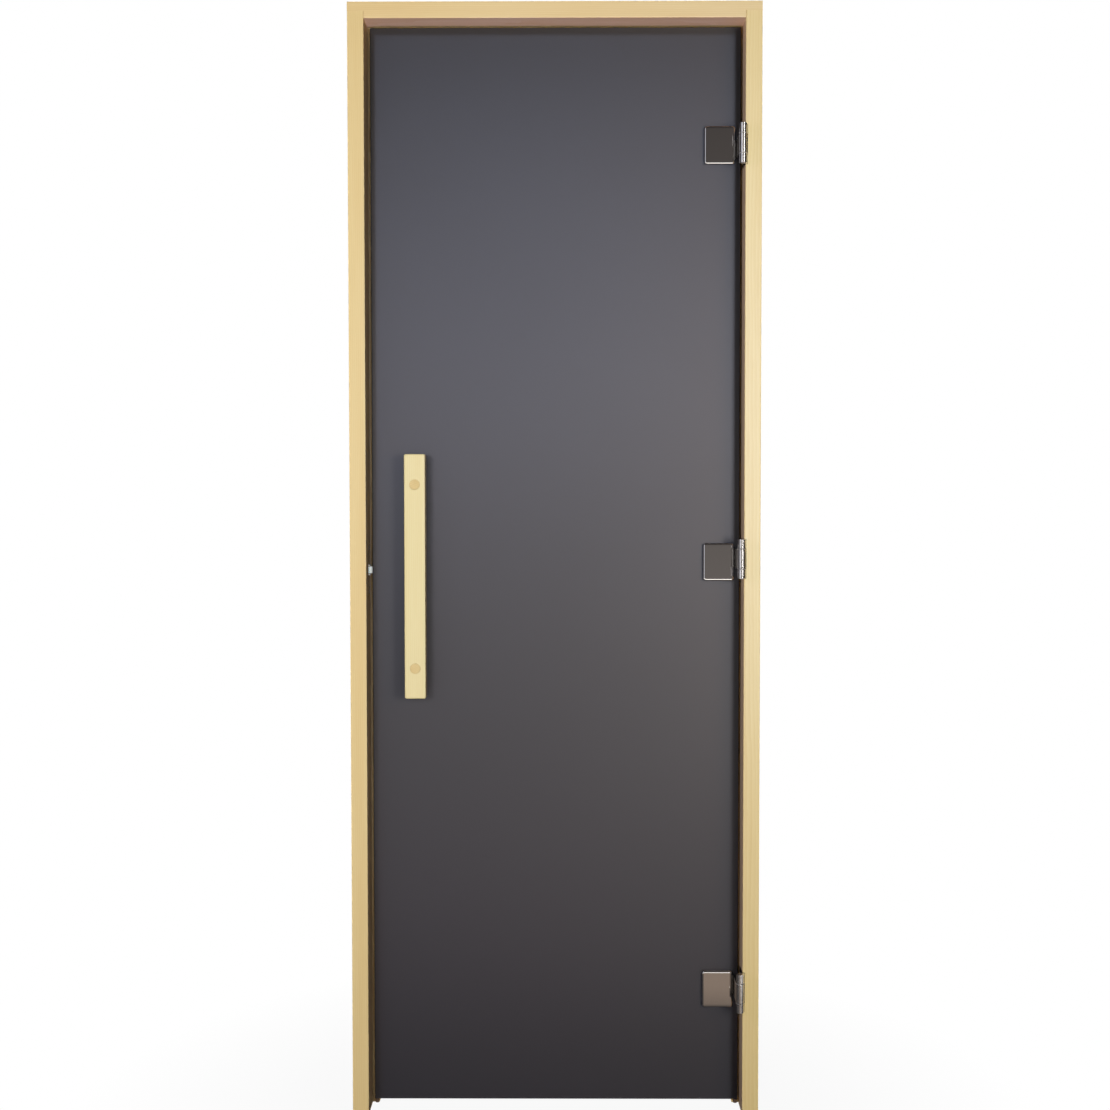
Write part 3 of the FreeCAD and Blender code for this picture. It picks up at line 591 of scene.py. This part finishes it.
dress(["hinge_jamb", "latch_jamb"], upright_wood)
dress(["head_rail"], crosswise_wood)
dress(["outer_handle", "inner_handle"], handle_wood)
dress(["outer_handle_plugs", "inner_handle_plugs"], plug_wood)
dress(["glass_panel"], glass)
dress(["hinge_side_seal", "latch_side_seal", "head_seal"], seal_silicone)
dress(["handle_spacers", "handle_bolts", "catch_axle"], turned_steel)
dress(["handle_gaskets"], pad_silicone)
dress(["catch_face_plate", "catch_carrier", "catch_housing"], plated_steel)
dress(["hinge_leaf_screws", "catch_screws"], screw_steel)
dress(["catch_roller"], roller_nylon)
for hinge in HINGES:
    dress([hinge + "_front_cover", hinge + "_rear_plate"], mirror_steel)
    dress([hinge + "_jamb_leaf", hinge + "_glass_leaf"], hinge_steel)
    dress([hinge + "_hinge_pin"], turned_steel)
    dress([hinge + "_hinge_washers"], washer_steel)
    dress([hinge + "_clamp_gaskets"], pad_silicone)
    dress([hinge + "_clamp_screws"], screw_steel)
print("dressed", len(nodes), "parts")

# %% [markdown]
# Real metal parts have no perfectly sharp edge: sawing and stamping leave a burr that is
# broken or tumbled off, and the narrow round that stays is what catches the light. The
# construction's parts come as loose triangles, so a copy is merged, its flat triangles
# are joined into whole faces, and a bevel rounds every edge that is sharper than a
# tessellated curve.

# %% Broken edges
MERGE_DISTANCE = 2e-6
FLAT_ANGLE = math.radians(1.0)
SHARP_ANGLE = math.radians(30)
BEVEL_ANGLE = math.radians(40)
LEAF_EDGE, CATCH_EDGE = 0.35 * MM, 0.3 * MM

def broken_edges(node_name, body, width, material):
    """A merged copy of one part whose edges sharper than the bevel angle are rounded to a width."""
    made = bpy.data.objects.new(node_name + "_finished", nodes[node_name].data.copy())
    scene.collection.objects.link(made)
    work = bmesh.new()
    work.from_mesh(made.data)
    bmesh.ops.remove_doubles(work, verts=work.verts, dist=MERGE_DISTANCE)
    bmesh.ops.dissolve_limit(work, angle_limit=FLAT_ANGLE, verts=work.verts, edges=work.edges)
    bmesh.ops.recalc_face_normals(work, faces=work.faces)
    work.to_mesh(made.data)
    work.free()
    made.data.shade_smooth()
    made.data.set_sharp_from_angle(angle=SHARP_ANGLE)
    bevel = made.modifiers.new("broken_edges", "BEVEL")
    bevel.width = width
    bevel.segments = 2
    bevel.limit_method = "ANGLE"
    bevel.angle_limit = BEVEL_ANGLE
    bevel.harden_normals = True
    made.data.materials.clear()
    made.data.materials.append(material)
    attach(made, body)
    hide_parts(node_name)
    return made


barrel_parts, satin_parts = [], []
for hinge in HINGES:
    barrel_parts.append(broken_edges(hinge + "_jamb_leaf", "frame", LEAF_EDGE, hinge_steel))
    barrel_parts.append(broken_edges(hinge + "_glass_leaf", "door_leaf", LEAF_EDGE, hinge_steel))
broken_edges("catch_face_plate", "frame", CATCH_EDGE, plated_steel)
satin_parts.append(broken_edges("catch_carrier", "catch_carriage", CATCH_EDGE, washer_steel))

# %% [markdown]
# Two more ways to make a part. A turned part is a profile carried round its axis. A
# pressed plate is a stack of rings: each is the same rounded outline, drawn in a little
# and lifted a little, so that the edge rolls over as sheet metal does in a press. The
# last two helpers put a piece in the place of its part and read a part's box.

# %% Turned parts and pressed plates
LEAST_CORNER = 0.1 * MM

def turned(profile, place, axis, spokes=64):
    """Each (reach, radius) of the profile is a circle of that radius, that far along the axis.
    The axis is X, Y or Z, so the same numbers rolled by one place are square to it."""
    reach, radius = np.array(profile, dtype=float).T
    angle = np.linspace(0, 2 * math.pi, spokes, endpoint=False)
    axis = np.array(axis, dtype=float)
    side = np.roll(axis, 1)
    spoke = np.cos(angle)[:, None] * side + np.sin(angle)[:, None] * np.cross(axis, side)
    return np.array(place) + reach[:, None, None] * axis + radius[:, None, None] * spoke


def quarter_round(centre, radius, start_degrees, steps=5):
    """Points on a quarter circle round a centre (reach, radius): the centre plus the radius times
    the cosine and the sine of an angle that runs on from the start."""
    angle = np.radians(start_degrees + np.linspace(0, 90, steps))
    return [(centre[0] + radius * math.cos(a), centre[1] + radius * math.sin(a)) for a in angle]


def pressed_plate(width, height, corner, profile, place, out, arc_steps=7):
    """Rings of a rounded rectangle in X and Z, one for each (inset, lift): straight halves less
    the inset, and corners of a radius less the inset. Both ends close at the middle."""
    quarter = np.radians(np.linspace(0, 90, arc_steps))
    angle = np.concatenate([quarter + corner_number * math.pi / 2 for corner_number in range(4)])
    right = np.repeat([1, -1, -1, 1], arc_steps)
    top = np.repeat([1, 1, -1, -1], arc_steps)
    rings = []
    for inset, lift in profile:
        bend = max(corner - inset, LEAST_CORNER)
        across = right * (width / 2 - inset - bend) + bend * np.cos(angle)
        up = top * (height / 2 - inset - bend) + bend * np.sin(angle)
        rings.append(np.stack([across, np.full_like(across, out * lift), up], axis=-1))
    middle = np.array([0.0, 1.0, 0.0])
    return np.array(place) + np.stack([rings[0] * middle] + rings + [rings[-1] * middle])


def fitted(name, grids, body, material, node_name, sharp_degrees=35.0):
    """A mesh from grids that rides on a body, wears a material and takes the place of one part."""
    made = mesh_object(name, grids, sharp_degrees)
    made.data.materials.append(material)
    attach(made, body)
    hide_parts(node_name)
    return made


def corner_and_size(node_name):
    """The low corner and the size of a part's box, as two arrays."""
    low, high = (np.array(corner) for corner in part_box(node_name))
    return low, high - low


# %% [markdown]
# The hinge's front cover is pressed from thin sheet and buffed: its face is flat with a
# very slight crown, its edge rolls over in a small curve, and its rim turns back to the
# clamp. The crown matters more than it looks: a mirror that is quite flat shows one
# spot of the room, and a crown of a few hundredths of a millimetre spreads it. A lamp
# that lies on the floor and lights only the covers draws the bright line of the roll.

# %% Hinge covers
COVER_CORNER = 5.0 * MM
COVER_ROLL = 3.0 * MM
COVER_CROWN = 0.04 * MM
COVER_RIM = 0.4 * MM

def cover_profile(thickness, width):
    """(inset, lift) from the middle out: a crown that falls with the square of the way to the
    edge, a quarter round for the roll, then the rim back to the clamp."""
    crown = [(share * (width / 2 - COVER_CORNER) + COVER_ROLL,
              thickness - COVER_CROWN * (1 - share) ** 2)
             for share in (0.9, 0.75, 0.6, 0.45, 0.3, 0.15)]
    roll = [(COVER_ROLL * (1 - math.sin(a)),
             thickness - COVER_CROWN - COVER_ROLL * (1 - math.cos(a)))
            for a in np.radians(np.linspace(0, 90, 9))]
    return crown + roll + [(0.0, COVER_RIM), (COVER_RIM, 0.0)]


covers = []
for hinge in HINGES:
    low, size = corner_and_size(hinge + "_front_cover")
    place = (low[0] + size[0] / 2, low[1] + size[1], low[2] + size[2] / 2)
    rings = pressed_plate(size[0], size[2], COVER_CORNER, cover_profile(size[1], size[0]), place, -1)
    covers.append(fitted(hinge + "_cover_pressed", [(rings, False, True)], "door_leaf", mirror_steel,
                         hinge + "_front_cover"))
softbox("cover_edge_light", (-0.1, -1.9, 0.03), (-0.1, -1.9, 1.0), (1.2, 1.2), 9,
        matte=False, only=covers)
print("cover", np.round(size / MM, 1), "mm, edge rolled at", COVER_ROLL / MM, "mm")

# %% [markdown]
# Washers and pins. A washer is punched from sheet, so its rim is round where the punch
# went in. The pin's ends are domed a little so that they don't catch a cloth. The lamps
# here light only metal that this step and the last ones made: strips draw the bright
# lines down the barrels, and a softer one lifts the satin washers and the catch's carrier.

# %% Washers and pins
def washer_rings(low, size, thickness, bore):
    """Two rings in one box, one at its bottom and one at its top, each with a rounded rim."""
    radius = size[0] / 2
    middle = (low[0] + radius, low[1] + radius, low[2])
    grids = []
    for start in (0.0, size[2] - thickness):
        rim = quarter_round((start + thickness / 2, radius - thickness / 2), thickness / 2, 90)
        rim = quarter_round((start + thickness / 2, radius - thickness / 2), thickness / 2, 0) + rim
        profile = [(start + thickness, bore), *rim, (start, bore)]
        grids.append((turned(profile, middle, UPRIGHT), True, True))
    return grids


WASHER_THICKNESS = 0.8 * MM
WASHER_CLEARANCE = 0.05 * MM
PIN_DOME = 0.5 * MM
PIN_DOME_ANGLES = np.radians([70, 50, 30, 12, 0])
for hinge in HINGES:
    low, size = corner_and_size(hinge + "_hinge_pin")
    pin_radius = size[1] / 2
    pin_axis = (low[0] + size[0] / 2, low[1] + pin_radius, low[2])
    near_dome = [(PIN_DOME * (1 - math.sin(a)), pin_radius * math.cos(a) ** 0.8)
                 for a in PIN_DOME_ANGLES]
    far_dome = [(size[2] - reach, radius) for reach, radius in reversed(near_dome)]
    profile = [(0.0, 0.0), *near_dome, *far_dome, (size[2], 0.0)]
    barrel_parts.append(fitted(hinge + "_pin_turned",
                               [(turned(profile, pin_axis, UPRIGHT), False, True)],
                               "frame", turned_steel, hinge + "_hinge_pin"))
    low, size = corner_and_size(hinge + "_hinge_washers")
    satin_parts.append(fitted(hinge + "_washers_punched",
                              washer_rings(low, size, WASHER_THICKNESS, pin_radius + WASHER_CLEARANCE),
                              "frame", washer_steel, hinge + "_hinge_washers"))
low_barrel_parts = [part for part in barrel_parts if part.name.startswith("lower")]
for name, place, aim, size, watts, lit in (
        ("right_barrel_strip", (1.4, -2.6, 1.5), (-0.03, 0.0, 1.2), (0.3, 2.6), 22, barrel_parts),
        ("left_barrel_strip", (-1.2, -2.7, 1.5), (-0.03, 0.0, 1.2), (0.4, 2.6), 7, barrel_parts),
        ("low_barrel_strip", (0.75, -1.4, 0.06), (-0.033, -0.04, 0.22), (0.1, 0.1), 6, low_barrel_parts),
        ("satin_glow", (-0.4, -2.9, 1.2), (-0.35, 0.0, 1.1), (0.8, 1.0), 12, satin_parts)):
    softbox(name, place, aim, size, watts, matte=False, only=lit)
print("pin radius", round(pin_radius / MM, 2), "mm")

# %% [markdown]
# Screw heads are polar grids: rings round the axis, and the rings near the middle take
# the outline of the driver's recess instead of a circle. A wood screw has a six-lobed
# recess and a clamp screw a hexagon. Below its head each one is a plain turned shank.
# Each leaf has three: two near the ends of the pin, and one further back, halfway up.

# %% Screws
HEAD_RIM = 0.25 * MM
RECESS_EDGE = 0.12 * MM
SHANK_END = 0.3 * MM
LOBE_SHARE = 0.14

def lobed(angle, size):
    """A six-lobed recess: its size, plus a share of it times the cosine of six times the angle."""
    return size * (1 + LOBE_SHARE * np.cos(6 * angle))


def hexagon(angle, size):
    """A hexagon: its half width divided by the cosine of the angle from the nearest flat's middle."""
    return size / np.cos((angle % (math.pi / 3)) - math.pi / 6)


def screw(place, into, head_radius, shank_radius, length, recess, recess_size, recess_depth,
          spokes=96):
    """A countersunk screw as rings of (radius, depth): the recess's floor, wall and mouth, then
    the head's flat, rim and cone, and the shank."""
    angle = np.linspace(0, 2 * math.pi, spokes, endpoint=False)
    mouth = recess(angle, recess_size)
    plain = np.ones_like(angle)
    rings = [(0.0 * plain, recess_depth * 1.25), (0.90 * mouth, recess_depth), (mouth, RECESS_EDGE),
             (mouth + RECESS_EDGE, 0.0), ((head_radius - HEAD_RIM) * plain, 0.0),
             ((head_radius - HEAD_RIM * 0.3) * plain, HEAD_RIM * 0.3),
             (head_radius * plain * 0.985, HEAD_RIM * 1.1),
             (shank_radius * plain, head_radius - shank_radius),
             (shank_radius * plain, length - SHANK_END), (0.0 * plain, length)]
    into = np.array(into, dtype=float)
    side = np.roll(into, 1)
    spoke = np.cos(angle)[:, None] * side + np.sin(angle)[:, None] * np.cross(into, side)
    return np.stack([np.array(place) + radius[:, None] * spoke + depth * into
                     for radius, depth in rings])


def screws_in_box(node_name, into, count, head_radius, recess, recess_size, recess_depth):
    """Screws spread evenly from bottom to top of a part's box, with their heads on its outer side."""
    low, size = corner_and_size(node_name)
    high = low + size
    into = np.array(into, dtype=float)
    along = int(np.argmax(np.abs(into)))
    place = low + size / 2
    place[along] = low[along] if into[along] > 0 else high[along]
    grids = []
    for level in np.linspace(low[2] + head_radius, high[2] - head_radius, count):
        place[2] = level
        grids.append((screw(place.copy(), into, head_radius, head_radius * 0.5, size[along], recess,
                            recess_size, recess_depth), False, True))
    return grids


CLAMP_HEAD_RADIUS = 5.6 * MM
CLAMP_RECESS, CLAMP_RECESS_DEPTH = 1.9 * MM, 2.2 * MM
WOOD_HEAD_RADIUS = 4.2 * MM
WOOD_SHANK_RADIUS = 2 * MM
WOOD_RECESS, WOOD_RECESS_DEPTH = 1.5 * MM, 1.6 * MM
SCREW_SHARP_DEGREES = 30
for hinge in HINGES:
    fitted(hinge + "_clamp_screws_turned",
           screws_in_box(hinge + "_clamp_screws", (0, -1, 0), 2, CLAMP_HEAD_RADIUS, hexagon,
                         CLAMP_RECESS, CLAMP_RECESS_DEPTH),
           "door_leaf", screw_steel, hinge + "_clamp_screws", SCREW_SHARP_DEGREES)
fitted("catch_screws_turned",
       screws_in_box("catch_screws", (-1, 0, 0), 2, WOOD_HEAD_RADIUS, lobed,
                     WOOD_RECESS, WOOD_RECESS_DEPTH),
       "frame", screw_steel, "catch_screws", SCREW_SHARP_DEGREES)

LEAF_SCREW_DEPTHS = (14 * MM, 32 * MM)
LEAF_SCREW_EDGE = 12 * MM
low, size = corner_and_size("hinge_leaf_screws")
jamb_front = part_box("hinge_jamb")[0][1]
leaf_screw_grids = []
for hinge in HINGES:
    pin_low, pin_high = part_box(hinge + "_hinge_pin")
    for depth, level in ((LEAF_SCREW_DEPTHS[0], pin_low[2] + LEAF_SCREW_EDGE),
                         (LEAF_SCREW_DEPTHS[0], pin_high[2] - LEAF_SCREW_EDGE),
                         (LEAF_SCREW_DEPTHS[1], (pin_low[2] + pin_high[2]) / 2)):
        place = (low[0], jamb_front + depth, level)
        leaf_screw_grids.append((screw(place, (1, 0, 0), WOOD_HEAD_RADIUS, WOOD_SHANK_RADIUS,
                                       size[0], lobed, WOOD_RECESS, WOOD_RECESS_DEPTH), False, True))
fitted("leaf_screws_turned", leaf_screw_grids, "frame", screw_steel, "hinge_leaf_screws",
       SCREW_SHARP_DEGREES)
print("screws:", len(leaf_screw_grids), "in the leaves, 2 in the catch, 2 in each clamp")

# %% [markdown]
# The catch's roller is moulded in nylon with a slight crown, so that it rolls on its
# middle, and rounded shoulders. The handle's plugs are cross-cut from the same wood,
# with a softened rim that stands a hair above the bar.

# %% Roller and plugs
ROLLER_BORE = 1.55 * MM
ROLLER_SHOULDER = 0.9 * MM
ROLLER_CROWN, ROLLER_SHOULDER_DROP = 0.12 * MM, 0.1 * MM
PLUG_RIM = 0.7 * MM
PLUG_DOME = 0.05 * MM

def roller_rings():
    """A crowned roller: its radius falls off with the square of the distance from mid height,
    quarter rounds make its shoulders, and a bore runs down the middle."""
    low, size = corner_and_size("catch_roller")
    radius, height = size[0] / 2, size[2]
    crown = [(height * share, radius - ROLLER_CROWN * (2 * share - 1) ** 2)
             for share in np.linspace(0.88, 0.12, 9)]
    top = [(height - ROLLER_SHOULDER * (1 - math.sin(a)),
            radius - ROLLER_SHOULDER_DROP - ROLLER_SHOULDER * (1 - math.cos(a)))
           for a in np.radians([90, 67, 45, 22])]
    bottom = [(height - reach, rim) for reach, rim in reversed(top)]
    profile = [(height, ROLLER_BORE)] + top + crown + bottom + [(0.0, ROLLER_BORE)]
    return turned(profile, (low[0] + radius, low[1] + radius, low[2]), UPRIGHT)


def plug_rings(node_name, out):
    """Two round plugs at the ends of a part's box, facing out: a faint dome, a quarter round for
    the rim, and a straight side."""
    low, size = corner_and_size(node_name)
    radius = size[0] / 2
    outer_face = low[1] if out < 0 else low[1] + size[1]
    profile = [(0.0, 0.0), (PLUG_DOME / 5, radius * 0.5), (PLUG_DOME, radius - PLUG_RIM)]
    profile += [(PLUG_DOME + PLUG_RIM * (1 - math.cos(a)), radius - PLUG_RIM + PLUG_RIM * math.sin(a))
                for a in np.radians([25, 50, 70, 90])]
    profile += [(size[1], radius), (size[1], 0.0)]
    levels = (low[2] + radius, low[2] + size[2] - radius)
    return [(turned(profile, (low[0] + radius, outer_face, level), (0, -out, 0)), False, True)
            for level in levels]


roller = fitted("roller_crowned", [(roller_rings(), True, True)], "catch_wheel", roller_nylon,
                "catch_roller")
fitted("outer_plugs_turned", plug_rings("outer_handle_plugs", -1), "door_leaf", plug_wood,
       "outer_handle_plugs")
fitted("inner_plugs_turned", plug_rings("inner_handle_plugs", 1), "door_leaf", plug_wood,
       "inner_handle_plugs")
print("roller with", len(roller.data.polygons), "faces, and two plugs in each handle")
